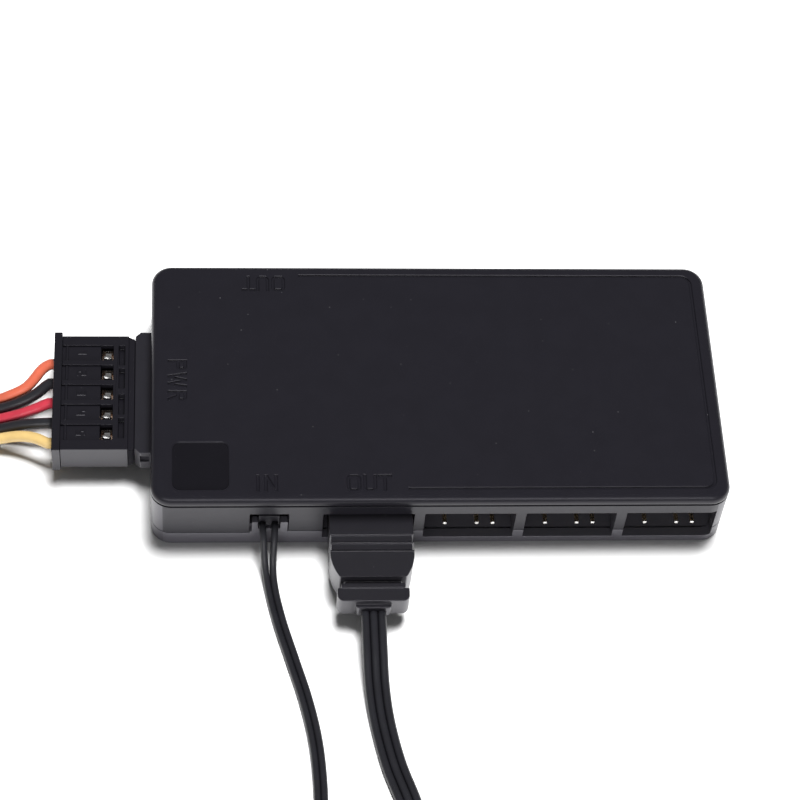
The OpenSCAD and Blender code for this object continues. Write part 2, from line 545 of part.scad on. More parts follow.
module power_end_contacts() {
  color([0.85, 0.75, 0.5]) for (k = [-7:7]) box(hx3 + k * 1.27 - 0.3, hx3 + k * 1.27 + 0.3, pe_y + 3, pe_y + 13.6, 3.6, 3.82);
}

// ---------- signal plug and its cable ----------
sig_y1 = yf + 0.45;                                    // rear of the plug, just inside the box
module signal_plug() {
  color([0.1, 0.1, 0.11]) difference() {
    union() {
      box(in_x - 2.3, in_x + 2.3, sig_y0 - 4.2, sig_y0 + 4.7, board_top + 0.7, 7.6);
      box(in_x - 1.1, in_x + 1.1, sig_y0 - 3.4, sig_y0 + 2.5, 7.5, 8.1);
      box(in_x - 1.65, in_x + 1.65, sig_y1, sig_y0 - 4.1, 4.42, 7.3);
    }
    // windows over the crimped ends
    for (d = [-1, 1]) box(in_x + d - 0.45, in_x + d + 0.45, sig_y1 + 0.5, sig_y1 + 1.5, 6.8, 8);
    for (d = [-1, 1]) box(in_x + d - 0.7, in_x + d + 0.7, sig_y0 + 0.6, sig_y0 + 5, 4.7, 6.1);
  }
}
module signal_plug_contacts() {
  color([0.85, 0.75, 0.5]) for (d = [-1, 1]) difference() {
    box(in_x + d - 0.6, in_x + d + 0.6, sig_y0 + 0.7, sig_y0 + 4.4, 4.8, 6.0);
    box(in_x + d - 0.3, in_x + d + 0.3, sig_y0 + 1.2, sig_y0 + 5, 5.1, 5.7);
  }
}
flat_z = flat_t / 2 + 0.01;
inc_z = inc_t / 2 + 0.01;
route_signal = [[in_x - 0.05, sig_y1, 5.35], [in_x - 0.05, -23.4, 5.35], [-27.1, -25.2, 4.7], [-27.1, -28, 2.3], [-26.7, -31.5, 0.8], [-25.6, -37, inc_z], [-23.7, -44, inc_z], [-21.8, -51, inc_z], [-20.5, -58, inc_z], [-20, -65, inc_z], [-20, -71, inc_z], [-20, -78, inc_z]];
module signal_cable() { color([0.09, 0.09, 0.1]) sweep(route_signal, inc_w, inc_t); }
sc = [-39.1, -91];                                      // centre of the coil
sc_ri = 10;                                            // innermost and outermost turn
sc_ro = 19.1;
module signal_coil() {
  color([0.09, 0.09, 0.1]) linear_extrude(inc_t + 0.02) {
    translate(sc) difference() { circle(sc_ro + inc_w / 2, $fn = 96); circle(sc_ri - inc_w / 2, $fn = 96); }
    bar(sc[0] + sc_ro - inc_w / 2, sc[1], inc_w, 13);
  }
}
tail_z = flat_t * 1.5 + 0.02;
inc_tail_z = inc_t * 1.5 + 0.02;
route_signal_tail = [[sc[0], sc[1] - sc_ri, inc_tail_z], [-45, sc[1] - sc_ri, inc_tail_z], [-51, sc[1] - sc_ri, inc_tail_z], [-57, sc[1] - sc_ri, inc_tail_z], [-62, sc[1] - sc_ri, 1.3], [-64, sc[1] - sc_ri, 1.3]];
module signal_cable_tail() { color([0.09, 0.09, 0.1]) sweep(route_signal_tail, inc_w, inc_t); }
module signal_end_plug() {
  y = sc[1] - sc_ri;
  color([0.1, 0.1, 0.11]) difference() {
    box(-78, -64, y - 5.1, y + 5.1, 0, 2.6);
    for (k = [-1.5, -0.5, 1.5]) box(-79, -72, y + k * 2.54 - 0.95, y + k * 2.54 + 0.95, 0.35, 2.25);
    for (k = [-1.5, -0.5, 1.5]) box(-69.5, -67, y + k * 2.54 - 0.6, y + k * 2.54 + 0.6, 1.9, 3);
  }
}
module signal_end_contacts() {
  y = sc[1] - sc_ri;
  color([0.85, 0.75, 0.5]) for (k = [-1.5, -0.5]) difference() {
    box(-77, -72.05, y + k * 2.54 - 0.85, y + k * 2.54 + 0.85, 0.45, 2.15);
    box(-78, -72.6, y + k * 2.54 - 0.5, y + k * 2.54 + 0.5, 0.8, 1.8);
  }
}

// ---------- output plug and its cable ----------
op_x = port_x(3) + 0.25;
module plug_plan(y0, y1, w, r) {
  // straight sides with rounded rear corners
  translate([op_x, 0]) {
    translate([-w / 2, y1 + r]) square([w, y0 - y1 - r]);
    translate([-w / 2 + r, y1]) square([w - 2 * r, y0 - y1]);
    for (s = [-1, 1]) translate([s * (w / 2 - r), y1 + r]) circle(r);
  }
}
module plug_body_plan(w) {
  // sides that close in towards the rear on a large radius
  ya = yf - 6.5; yb = yf - 10.9; r = w * 0.6;
  translate([op_x, 0]) {
    translate([-w / 2, ya]) square([w, -ya + yf + port_depth - 0.1]);
    intersection() {
      translate([-w, yb]) square([2 * w, ya - yb + e]);
      translate([w / 2 - r, ya]) circle(r, $fn = 96);
      translate([r - w / 2, ya]) circle(r, $fn = 96);
    }
  }
}
module output_plug() {
  color([0.1, 0.1, 0.11]) difference() {
    union() {
      translate([0, 0, 2.0]) linear_extrude(6.2) plug_body_plan(13.1);
      translate([0, 0, 3.2]) linear_extrude(3.3) plug_plan(yf - 10, yf - 11.7, 8.8, 0.5);
      translate([0, 0, 2.7]) linear_extrude(4.5) plug_plan(yf - 11.55, yf - 12.37, 10.0, 0.3);
      translate([0, 0, 2.8]) linear_extrude(4.2) plug_plan(yf - 12.3, yf - 14.6, 11.2, 1.1);
      translate([0, 0, 3.5]) linear_extrude(2.5) plug_plan(yf - 14, yf - 15.3, 5.6, 0.6);
    }
    // two grip channels all round, with a thin rib after each
    for (y = [-3.5, -4.95]) difference() {
      box(op_x - 8, op_x + 8, yf + y - 1.2, yf + y, 0, 9);
      box(op_x - 6.3, op_x + 6.3, yf + y - 2, yf + y + 1, 2.28, 7.92);
    }
    box(op_x - 8, op_x + 8, yf - 11.2, yf - 6.4, 8.08, 9);
    for (d = pin_off) box(port_x(3) + d - 1.05, port_x(3) + d + 1.05, yf - 3.5, yf + port_depth, pin_z - 1.05, pin_z + 1.05);
  }
}
module output_plug_contacts() {
  color([0.85, 0.75, 0.5]) for (d = pin_off) difference() {
    box(port_x(3) + d - 0.95, port_x(3) + d + 0.95, yf - 3.4, yf + port_depth - 0.6, pin_z - 0.95, pin_z + 0.95);
    box(port_x(3) + d - 0.45, port_x(3) + d + 0.45, yf - 2.6, yf + port_depth, pin_z - 0.45, pin_z + 0.45);
  }
}
route_output = [[op_x, yf - 15.3, 4.75], [op_x, -39.5, 4.75], [-11.1, -44, 3.8], [-10.9, -49, 1.9], [-10.3, -54.5, 0.8], [-8.8, -62, flat_z], [-6.6, -69, flat_z], [-5.5, -75, flat_z], [-5.5, -80, flat_z]];
module output_cable() { color([0.09, 0.09, 0.1]) sweep(route_output, outc_w, flat_t); }
oc = [18.5, -97];
oc_ri = 15;
oc_ro = 24;
module output_coil() {
  color([0.09, 0.09, 0.1]) linear_extrude(flat_t + 0.02) {
    translate(oc) difference() { circle(oc_ro + outc_w / 2, $fn = 96); circle(oc_ri - outc_w / 2, $fn = 96); }
    bar(oc[0] - oc_ro - outc_w / 2, oc[1], outc_w, 17);
  }
}
oe_y = oc[1] + 0.6;                                     // the plug lies in the middle of the coil
route_output_tail = [[oc[0], oc[1] - oc_ri, tail_z], [oc[0] + 2, oc[1] - oc_ri, tail_z], [24.6, -110.7, 2.05], [27.4, -107.9, 2.2], [28.3, -104.2, 2.4], [27.2, -100.4, 2.6], [24.5, -97.4, 2.8], [20.8, oe_y, 2.9], [19.5, oe_y, 2.9]];
module output_cable_tail() { color([0.09, 0.09, 0.1]) sweep(route_output_tail, outc_w, flat_t); }
module output_end_plug() {
  color([0.1, 0.1, 0.11]) difference() {
    box(8.5, 19.5, oe_y - 6.6, oe_y + 6.6, 0, 5.8);
    box(7, 14, oe_y - 5.5, oe_y + 5.5, 1, 4.8);
    for (k = [-1.5, 0.5, 1.5]) box(12, 16, oe_y + k * 2.54 - 0.32, oe_y + k * 2.54 + 0.32, 2.58, 3.22);
  }
}
module output_end_pins() {
  color([0.85, 0.75, 0.5]) for (k = [-1.5, 0.5, 1.5]) box(9, 16, oe_y + k * 2.54 - 0.32, oe_y + k * 2.54 + 0.32, 2.58, 3.22);
}

top_cover();
bottom_shell();
cover_screws();
circuit_board();
front_header_1();
front_header_2();
front_header_3();
front_header_4();
back_header_1();
back_header_2();
back_header_3();
back_header_4();
back_header_5();
front_pins();
back_pins();
signal_header();
signal_pins();
power_header();
power_contacts();
buffer_chip();
bulk_capacitor();
resettable_fuse();
ceramic_capacitors();
resistors();
power_plug_housing();
power_plug_cap();
power_plug_contacts();
wire_orange();
wire_black_a();
wire_red();
wire_black_b();
wire_yellow();
power_lead_hank();
power_lead_tie();
power_end_housing();
power_end_cap();
power_end_contacts();
signal_plug();
signal_plug_contacts();
signal_cable();
signal_coil();
signal_cable_tail();
signal_end_plug();
signal_end_contacts();
output_plug();
output_plug_contacts();
output_cable();
output_coil();
output_cable_tail();
output_end_plug();
output_end_pins();
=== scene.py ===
import math

import bmesh
import bpy
import numpy as np
from mathutils import Matrix, Vector


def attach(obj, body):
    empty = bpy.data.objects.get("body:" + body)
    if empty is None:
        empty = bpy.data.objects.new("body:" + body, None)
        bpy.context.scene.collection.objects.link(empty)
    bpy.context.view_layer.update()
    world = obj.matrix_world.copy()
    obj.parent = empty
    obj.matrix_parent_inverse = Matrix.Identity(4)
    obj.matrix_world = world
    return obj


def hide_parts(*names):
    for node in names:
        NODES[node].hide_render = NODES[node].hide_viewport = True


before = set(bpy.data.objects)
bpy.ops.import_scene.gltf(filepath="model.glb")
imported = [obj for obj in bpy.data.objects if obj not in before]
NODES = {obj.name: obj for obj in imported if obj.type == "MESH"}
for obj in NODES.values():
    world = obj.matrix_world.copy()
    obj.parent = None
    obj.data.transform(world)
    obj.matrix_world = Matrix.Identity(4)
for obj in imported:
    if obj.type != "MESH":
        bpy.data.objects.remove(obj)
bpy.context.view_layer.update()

MM = 0.001
scene = bpy.context.scene

# ------------------------------------------------------------------ camera
# Fitted to pin tips, socket edges and outline of the box; degrees and millimetres.
F_PX, ELEV, AZIM, ROLL = 2636.0755, 56.2536, 8.3561, 6.9092
CAM = Vector((-39.9602, -234.7836, 361.8325)) * MM


def make_camera():
    th, ps, ph = (math.radians(a) for a in (ELEV, AZIM, ROLL))
    f = Vector((math.sin(ps) * math.cos(th), math.cos(ps) * math.cos(th), -math.sin(th)))
    r = Vector((math.cos(ps), -math.sin(ps), 0))
    u = r.cross(f)
    right = r * math.cos(ph) + u * math.sin(ph)
    up = u * math.cos(ph) - r * math.sin(ph)
    m = Matrix((right, up, -f)).transposed().to_4x4()
    m.translation = CAM
    data = bpy.data.cameras.new("camera")
    data.sensor_width = 36
    data.lens = F_PX / 800 * 36
    data.clip_start, data.clip_end = 0.02, 20
    cam = bpy.data.objects.new("camera", data)
    scene.collection.objects.link(cam)
    cam.matrix_world = m
    scene.camera = cam


make_camera()


# ------------------------------------------------------------------ materials
class Mat:
    """A small helper around one node material."""

    def __init__(self, name):
        self.m = bpy.data.materials.new(name)
        self.m.use_nodes = True
        self.t = self.m.node_tree
        self.b = self.t.nodes["Principled BSDF"]
        self.geo = self.node("ShaderNodeTexCoord")
        self.co = self.geo.outputs["Object"]

    def node(self, kind, **props):
        n = self.t.nodes.new(kind)
        for k, v in props.items():
            setattr(n, k, v)
        return n

    def link(self, a, b):
        self.t.links.new(a, b)

    def put(self, **values):
        for k, v in values.items():
            self.b.inputs[k.replace("_", " ")].default_value = v
        return self

    def noise(self, scale, detail=3.0, rough=0.55, vec=None, distortion=0.0):
        n = self.node("ShaderNodeTexNoise")
        n.inputs["Scale"].default_value = scale
        n.inputs["Detail"].default_value = detail
        n.inputs["Roughness"].default_value = rough
        n.inputs["Distortion"].default_value = distortion
        self.link(vec or self.co, n.inputs["Vector"])
        return n.outputs["Fac"]

    def ramp(self, fac, stops):
        n = self.node("ShaderNodeValToRGB")
        e = n.color_ramp.elements
        while len(e) < len(stops):
            e.new(0.5)
        for el, (pos, col) in zip(e, stops):
            el.position = pos
            el.color = (*col, 1) if len(col) == 3 else col
        self.link(fac, n.inputs["Fac"])
        return n.outputs["Color"]

    def span(self, fac, lo, hi, a=0.0, b=1.0):
        n = self.node("ShaderNodeMapRange")
        n.inputs["From Min"].default_value = a
        n.inputs["From Max"].default_value = b
        n.inputs["To Min"].default_value = lo
        n.inputs["To Max"].default_value = hi
        self.link(fac, n.inputs["Value"])
        return n.outputs["Result"]

    def math(self, op, a, b):
        n = self.node("ShaderNodeMath", operation=op)
        for i, x in enumerate((a, b)):
            if isinstance(x, (int, float)):
                n.inputs[i].default_value = x
            else:
                self.link(x, n.inputs[i])
        return n.outputs[0]

    def bump(self, height, strength, distance, under=None):
        n = self.node("ShaderNodeBump")
        n.inputs["Strength"].default_value = strength
        n.inputs["Distance"].default_value = distance
        self.link(height, n.inputs["Height"])
        if under is not None:
            self.link(under, n.inputs["Normal"])
        return n.outputs["Normal"]

    def color(self, out):
        self.link(out, self.b.inputs["Base Color"])

    def rough(self, out):
        self.link(out, self.b.inputs["Roughness"])

    def normal(self, out):
        self.link(out, self.b.inputs["Normal"])


def plastic(name, col, rough, grain=0.2, grain_scale=3800, var=0.012, tone=0.04, level=0.5, specks=0.0):
    """Moulded plastic: fine spark-eroded grain, slight changes of tone and gloss, and a little dust."""
    m = Mat(name)
    slow = m.noise(260, 4, 0.6)
    dark = tuple(c * (1 - tone) for c in col)
    light = tuple(min(1, c * (1 + tone)) for c in col)
    base = m.ramp(slow, [(0.35, dark), (0.65, light)])
    if specks:
        v = m.node("ShaderNodeTexVoronoi")
        v.inputs["Scale"].default_value = 900
        m.link(m.co, v.inputs["Vector"])
        cell = m.node("ShaderNodeSeparateColor")
        m.link(v.outputs["Color"], cell.inputs["Color"])
        near = m.span(v.outputs["Distance"], 1.0, 0.0, 0.03, 0.09)
        rare = m.math("GREATER_THAN", cell.outputs["Red"], 0.93)
        dot = m.math("MULTIPLY", m.math("MULTIPLY", near, rare), specks)
        mix = m.node("ShaderNodeMix", data_type="RGBA")
        m.link(dot, mix.inputs["Factor"])
        m.link(base, mix.inputs[6])
        mix.inputs[7].default_value = (0.16, 0.16, 0.165, 1)
        base = mix.outputs[2]
    m.color(base)
    fine = m.noise(grain_scale, 2, 0.6)
    mid = m.noise(grain_scale * 0.4, 2, 0.5)
    both = m.math("ADD", m.math("MULTIPLY", fine, 0.55), m.math("MULTIPLY", mid, 0.45))
    wear = m.noise(70, 5, 0.65, distortion=0.4)
    m.rough(m.math("ADD", m.span(wear, rough - var, rough + var, 0.3, 0.7), m.span(fine, -0.02, 0.02, 0.3, 0.7)))
    m.normal(m.bump(both, grain, 0.00003))
    m.put(Specular_IOR_Level=level, Specular_Tint=(0.94, 0.92, 1.0, 1.0))
    return m


def metal(name, col, rough=0.2, brush=None):
    m = Mat(name)
    m.put(Metallic=1.0)
    slow = m.noise(900, 3, 0.6)
    m.color(m.ramp(slow, [(0.3, tuple(c * 0.86 for c in col)), (0.7, col)]))
    vec = m.co
    if brush:
        mp = m.node("ShaderNodeMapping")
        mp.inputs["Scale"].default_value = brush
        m.link(m.co, mp.inputs["Vector"])
        vec = mp.outputs["Vector"]
    fine = m.noise(6000, 2, 0.5, vec=vec)
    m.rough(m.span(fine, rough * 0.7, rough * 1.4, 0.3, 0.7))
    m.normal(m.bump(fine, 0.12, 0.00003))
    return m


def insulation(name, col, rough=0.38):
    """Soft wire insulation: slight changes of tone and gloss, a fine grain and a thin coat."""
    m = Mat(name)
    slow = m.noise(300, 3, 0.6)
    m.color(m.ramp(slow, [(0.3, tuple(c * 0.88 for c in col)), (0.7, tuple(min(1, c * 1.08) for c in col))]))
    fine = m.noise(3500, 3, 0.6)
    m.rough(m.span(fine, rough - 0.05, rough + 0.08, 0.3, 0.7))
    m.normal(m.bump(fine, 0.12, 0.00004))
    m.put(Coat_Weight=0.15, Coat_Roughness=0.35)
    return m


def pin_metal():
    """Gold-flashed square pin: the sheared tip shows the whiter metal underneath."""
    m = Mat("gold_pin")
    m.put(Metallic=1.0)
    sep = m.node("ShaderNodeSeparateXYZ")
    m.link(m.co, sep.inputs[0])
    far = m.math("ABSOLUTE", sep.outputs["Y"], 0)
    tip = m.span(far, 0.0, 1.0, 0.02186, 0.02204)
    mix = m.node("ShaderNodeMix", data_type="RGBA")
    m.link(tip, mix.inputs["Factor"])
    m.link(m.ramp(m.noise(900, 3), [(0.3, (0.66, 0.50, 0.30)), (0.7, (0.80, 0.63, 0.40))]), mix.inputs[6])
    m.link(m.ramp(m.noise(2500, 2), [(0.3, (0.90, 0.88, 0.85)), (0.7, (0.97, 0.96, 0.94))]), mix.inputs[7])
    m.color(mix.outputs[2])
    fine = m.noise(5000, 2, 0.5)
    m.rough(m.span(fine, 0.2, 0.42, 0.3, 0.7))
    m.normal(m.bump(fine, 0.1, 0.00003))
    return m


def tip_metal():
    """Tinned sheet: whitish towards the top, darker and brownish lower down, which is painted shade of the recess in
    the plug window.
    """
    m = Mat("tin_tip")
    m.put(Metallic=1.0)
    sep = m.node("ShaderNodeSeparateXYZ")
    m.link(m.co, sep.inputs[0])
    wave = m.math("PINGPONG", m.math("SUBTRACT", sep.outputs["Y"], 0.00057 - 0.0001), 0.001905)
    # painted shade: the colour runs from whitish at the top to dark brown lower down in the window
    shade = m.math("ADD", m.span(m.noise(1500, 3), -0.12, 0.12, 0.3, 0.7), m.span(sep.outputs["Z"], 0.0, 1.0, 0.0063, 0.0071))
    m.color(m.ramp(shade, [(0.15, (0.34, 0.24, 0.18)), (0.75, (0.96, 0.95, 0.94))]))
    fine = m.noise(5000, 2, 0.5)
    m.rough(m.math("ADD", m.span(fine, 0.24, 0.34, 0.3, 0.7), m.math("MULTIPLY", wave, 2.0)))
    m.normal(m.bump(fine, 0.1, 0.00003))
    return m


M = {
    "cover": plastic("cover_plastic", (0.0062, 0.0059, 0.0080), 0.34, grain=0.16, level=0.37, specks=0.5),
    # painted light: the lower shell's black plastic is about five times lighter than the cover's, standing in for
    # the light its sides catch from the floor
    "shell": plastic("shell_plastic", (0.0340, 0.0328, 0.0385), 0.30, grain=0.14, level=0.95, specks=0.4),
    "pad": plastic("pad_plastic", (0.0036, 0.0034, 0.0046), 0.14, grain=0.015, level=0.32),
    "plug": plastic("plug_plastic", (0.0048, 0.0045, 0.0062), 0.33, grain=0.2, level=0.62, specks=0.6),
    "rubber": plastic("plug_rubber", (0.0070, 0.0067, 0.0084), 0.36, grain=0.3, grain_scale=2600, level=0.95, specks=0.4),
    "header": plastic("header_plastic", (0.0085, 0.0082, 0.0104), 0.38, grain=0.15, level=0.7),
    # painted light: the pin blocks get a lit copy of the black plastic, about five times lighter than the cover's,
    # in place of light reaching into the ports
    "block": plastic("header_plastic", (0.0300, 0.0290, 0.0350), 0.34, grain=0.15, level=1.0),
    "mini": plastic("plug_plastic_small", (0.0070, 0.0068, 0.0085), 0.40, grain=0.2, level=0.35),
    # painted light: the port insides get a lit copy of the black plastic, about five times lighter than the cover's,
    # in place of light that reaches into the ports
    "inner": plastic("inner_plastic_painted_light", (0.0300, 0.0290, 0.0340), 0.36, grain=0.14, level=0.7),
    "ivory": plastic("ivory_plastic", (0.50, 0.40, 0.34), 0.40, grain=0.12),
    "chip": plastic("chip_resin", (0.02, 0.02, 0.021), 0.55, grain=0.3),
    "ceramic": plastic("ceramic", (0.33, 0.22, 0.12), 0.55, grain=0.3),
    "fuse": plastic("fuse_body", (0.05, 0.16, 0.08), 0.45, grain=0.2),
    "board": plastic("board_laminate", (0.01, 0.055, 0.03), 0.32, grain=0.1),
    "pin": pin_metal(),
    "gold": metal("gold_contact", (0.86, 0.70, 0.42), 0.22),
    "tin": metal("tin_contact", (0.90, 0.89, 0.87), 0.16),
    "tip": tip_metal(),
    "screw": metal("screw_steel", (0.22, 0.22, 0.24), 0.32),
    "can": metal("can_aluminium", (0.80, 0.81, 0.83), 0.28, brush=(1, 1, 30)),
    "orange": insulation("wire_orange", (0.36, 0.078, 0.044)),
    "red": insulation("wire_red", (0.29, 0.022, 0.036)),
    "yellow": insulation("wire_yellow", (0.40, 0.28, 0.11)),
    "black": insulation("wire_black", (0.010, 0.010, 0.012)),
    "cable": insulation("cable_black", (0.0085, 0.0085, 0.0105), 0.42),
}


def tie_material():
    m = Mat("tie_fabric")
    w = m.node("ShaderNodeTexWave", wave_type="BANDS", bands_direction="X")
    w.inputs["Scale"].default_value = 900
    w.inputs["Distortion"].default_value = 2.0
    m.link(m.co, w.inputs["Vector"])
    v = m.node("ShaderNodeTexVoronoi")
    v.inputs["Scale"].default_value = 2600
    m.link(m.co, v.inputs["Vector"])
    h = m.math("ADD", m.math("MULTIPLY", w.outputs["Fac"], 0.5), v.outputs["Distance"])
    m.color(m.ramp(h, [(0.2, (0.008, 0.008, 0.008)), (0.9, (0.035, 0.035, 0.037))]))
    m.normal(m.bump(h, 0.8, 0.0002))
    m.put(Roughness=0.85, Sheen_Weight=0.4, Sheen_Roughness=0.4)
    return m


M["tie"] = tie_material()


def dress(obj, key):
    obj.data.materials.clear()
    obj.data.materials.append(M[key].m)


# ------------------------------------------------------------------ mesh helpers
def new_piece(name, verts, faces, key, smooth=True, ride="root"):
    """verts in millimetres."""
    me = bpy.data.meshes.new(name)
    me.from_pydata([tuple(c * MM for c in v) for v in verts], [], faces)
    me.validate()
    if smooth:
        me.shade_smooth()
    o = bpy.data.objects.new(name, me)
    scene.collection.objects.link(o)
    o.data.materials.append(M[key].m)
    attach(o, ride)
    return o


def smooth_line(points, step):
    """Catmull-Rom through the points, then even steps; millimetres in and out."""
    p = [np.array(q, float) for q in points]
    p = [2 * p[0] - p[1]] + p + [2 * p[-1] - p[-2]]
    fine = []
    for i in range(1, len(p) - 2):
        a, b, c, d = p[i - 1 : i + 3]
        t0, t1 = 0.0, np.linalg.norm(b - a) ** 0.5
        t2 = t1 + np.linalg.norm(c - b) ** 0.5
        t3 = t2 + np.linalg.norm(d - c) ** 0.5
        for t in np.linspace(t1, t2, 24, endpoint=False):
            a1 = (t1 - t) / (t1 - t0) * a + (t - t0) / (t1 - t0) * b
            a2 = (t2 - t) / (t2 - t1) * b + (t - t1) / (t2 - t1) * c
            a3 = (t3 - t) / (t3 - t2) * c + (t - t2) / (t3 - t2) * d
            b1 = (t2 - t) / (t2 - t0) * a1 + (t - t0) / (t2 - t0) * a2
            b2 = (t3 - t) / (t3 - t1) * a2 + (t - t1) / (t3 - t1) * a3
            fine.append((t2 - t) / (t2 - t1) * b1 + (t - t1) / (t2 - t1) * b2)
    fine.append(p[-2])
    return even(fine, step)


def even(points, step):
    q = np.array(points, float)
    seg = np.linalg.norm(np.diff(q, axis=0), axis=1)
    s = np.concatenate([[0], np.cumsum(seg)])
    n = max(2, int(round(s[-1] / step)) + 1)
    u = np.linspace(0, s[-1], n)
    return np.stack([np.interp(u, s, q[:, k]) for k in range(3)], 1)


def flat_frames(q):
    """Tangent, level side and up for each point of a line that is never vertical."""
    t = np.gradient(q, axis=0)
    t /= np.linalg.norm(t, axis=1)[:, None]
    side = np.cross(t, [0, 0, 1.0])
    side /= np.linalg.norm(side, axis=1)[:, None]
    up = np.cross(side, t)
    return t, side, up


def tube_data(q, profile, offset=None):
    """Closed tube along q. profile is an n x 2 array (side, up); offset is per point (side, up)."""
    t, side, up = flat_frames(q)
    n = len(profile)
    verts, faces = [], []
    for i in range(len(q)):
        o = q[i] if offset is None else q[i] + side[i] * offset[i][0] + up[i] * offset[i][1]
        for a, b in profile:
            verts.append(o + side[i] * a + up[i] * b)
    for i in range(len(q) - 1):
        for k in range(n):
            a, b = i * n + k, i * n + (k + 1) % n
            faces.append((a, b, b + n, a + n))
    faces.append(tuple(range(n))[::-1])
    faces.append(tuple((len(q) - 1) * n + k for k in range(n)))
    return verts, faces


def circle_profile(r, n=16):
    return [(r * math.cos(2 * math.pi * k / n), r * math.sin(2 * math.pi * k / n)) for k in range(n)]


# ------------------------------------------------------------------ looks of the CAD nodes
FLANGE_X = -61.25
CELL_Y = [0.57 + k * 3.81 for k in (2, 1, 0, -1, -2)]
LOOK = {
    "top_cover": "cover", "bottom_shell": "shell", "cover_screws": "screw", "circuit_board": "board", "front_pins": "pin", "back_pins": "pin",
    "signal_header": "ivory", "signal_pins": "gold", "power_header": "header", "power_contacts": "gold", "buffer_chip": "chip", "bulk_capacitor": "can",
    "resettable_fuse": "fuse", "ceramic_capacitors": "ceramic", "resistors": "chip", "power_plug_housing": "plug", "power_plug_cap": "plug",
    "power_plug_contacts": "tin", "power_lead_tie": "tie", "power_end_housing": "plug", "power_end_cap": "plug", "power_end_contacts": "gold",
    "signal_plug": "mini", "signal_plug_contacts": "gold", "signal_end_plug": "mini", "signal_end_contacts": "gold", "output_plug": "rubber",
    "output_plug_contacts": "gold", "output_end_plug": "rubber", "output_end_pins": "pin",
}
# nodes named header without a look of their own take the lightened block plastic, which is painted light
for n, o in NODES.items():
    dress(o, LOOK.get(n, "block" if "header" in n else "black"))


SHOWN = dict(NODES)


def refine(name, width, segments=2, limit=28, pad=None, marks=None, inner=None):
    """A copy of a node's mesh with its tessellation cleaned and its moulded edges broken.
    marks = (test of an edge, chamfer): engraved lines whose upper edges get a plain chamfer."""
    src = NODES[name]
    me = src.data.copy()
    bm = bmesh.new()
    bm.from_mesh(me)
    bmesh.ops.remove_doubles(bm, verts=bm.verts, dist=2e-6)
    bmesh.ops.dissolve_limit(bm, angle_limit=math.radians(0.6), verts=bm.verts, edges=bm.edges)
    bmesh.ops.recalc_face_normals(bm, faces=bm.faces)
    for f in bm.faces:
        f.smooth = True
    flat = set()
    if marks:
        test, chamfer = marks
        cut = [e for e in bm.edges if len(e.link_faces) == 2 and e.calc_face_angle(0) > math.radians(60) and test(e)]
        res = bmesh.ops.bevel(bm, geom=cut, offset=chamfer * MM, offset_type="OFFSET", segments=1, profile=0.5, affect="EDGES", clamp_overlap=False)
        for f in res["faces"]:
            f.smooth = False
            flat.add(f)
    if pad:
        for f in bm.faces:
            if pad(f.calc_center_median(), f.normal):
                f.material_index = 1
    # faces inside the ports take the lightened inner plastic, which is painted light
    if inner:
        for f in bm.faces:
            if inner(f.calc_center_median()):
                f.material_index = 2
    wt = bm.edges.layers.float.new("bevel_weight_edge")
    for e in bm.edges:
        near = any(f in flat for f in e.link_faces)
        sharp = len(e.link_faces) == 2 and e.calc_face_angle(0) > math.radians(limit)
        e.smooth = not near if flat else not sharp
        e[wt] = 1.0 if sharp and not near else 0.0
    clean = bpy.data.meshes.new(name + "_mesh")
    bm.to_mesh(clean)
    bm.free()
    bpy.data.meshes.remove(me)
    o = bpy.data.objects.new(name + "_shape", clean)
    scene.collection.objects.link(o)
    clean.materials.append(M[LOOK.get(name, "block")].m)
    if pad or inner:
        clean.materials.append(M["pad"].m)
    if inner:
        clean.materials.append(M["inner"].m)
    b = o.modifiers.new("edges", "BEVEL")
    b.width = width * MM
    b.segments = segments
    b.limit_method = "WEIGHT"
    b.use_clamp_overlap = False
    b.miter_outer = "MITER_ARC"
    w = o.modifiers.new("normals", "WEIGHTED_NORMAL")
    w.mode = "FACE_AREA"
    w.weight = 60
    w.keep_sharp = bool(flat)
    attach(o, "root")
    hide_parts(name)
    SHOWN[name] = o
    return o


# faces inside the ports; they are given the lighter inner plastic as painted light
def inside(c):
    return abs(c.y) < 0.0224 and abs(c.x) < 0.0453 and 0.0012 < c.z < 0.0105


def on_mark(e):
    a, b = e.verts[0].co, e.verts[1].co
    return abs(a.z - 0.0126) < 2e-5 and abs(b.z - 0.0126) < 2e-5 and max(abs(a.x), abs(b.x)) < 0.0446 and max(abs(a.y), abs(b.y)) < 0.0218


def on_pad(c, nrm):
    return nrm.z > 0.9 and abs(c.z - 0.01235) < 5e-5 and abs(c.x + 0.0378) < 0.0045 and abs(c.y + 0.0162) < 0.0045


